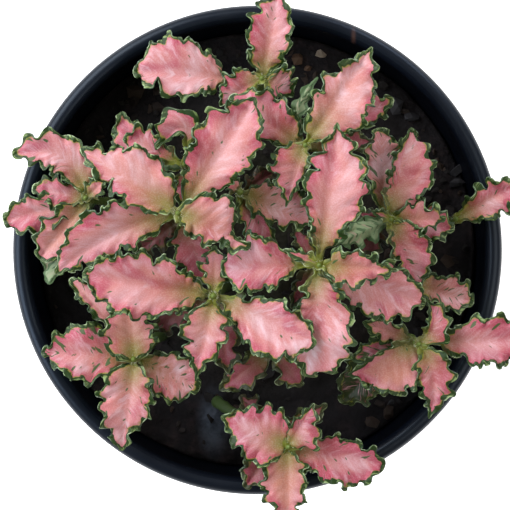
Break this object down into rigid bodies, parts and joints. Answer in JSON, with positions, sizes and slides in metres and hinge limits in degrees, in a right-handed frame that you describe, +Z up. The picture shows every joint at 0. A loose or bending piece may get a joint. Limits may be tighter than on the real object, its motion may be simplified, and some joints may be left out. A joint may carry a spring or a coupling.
{
  "type": "potted nerve plant",
  "caption": "Small nerve plant with pink, green-edged ruffled leaves on upright stems, growing in soil in a round tapered black pot.",
  "frame": {"origin": "centre of the pot's flat underside", "axes": "+Z up the pot's axis towards the leaves, +X to the right and +Y to the top of a picture taken from straight above"},
  "size_m": [0.1304, 0.1293, 0.1239],
  "materials": {
    "pot": "satin",
    "soil": "matte",
    "foliage": "satin"
  },
  "bodies": {
    "root": {"pot": "pot", "soil": "soil", "stem_front_left": "foliage", "stem_back_left": "foliage", "stem_middle": "foliage", "stem_centre": "foliage", "stem_back": "foliage", "stem_far_back": "foliage", "stem_right": "foliage", "stem_low_right": "foliage", "stem_right_front": "foliage", "stem_front": "foliage", "stem_low_front": "foliage", "stem_left_front": "foliage", "stem_left": "foliage", "stem_left_back": "foliage", "stem_right_edge": "foliage"}
  },
  "joints": []
}
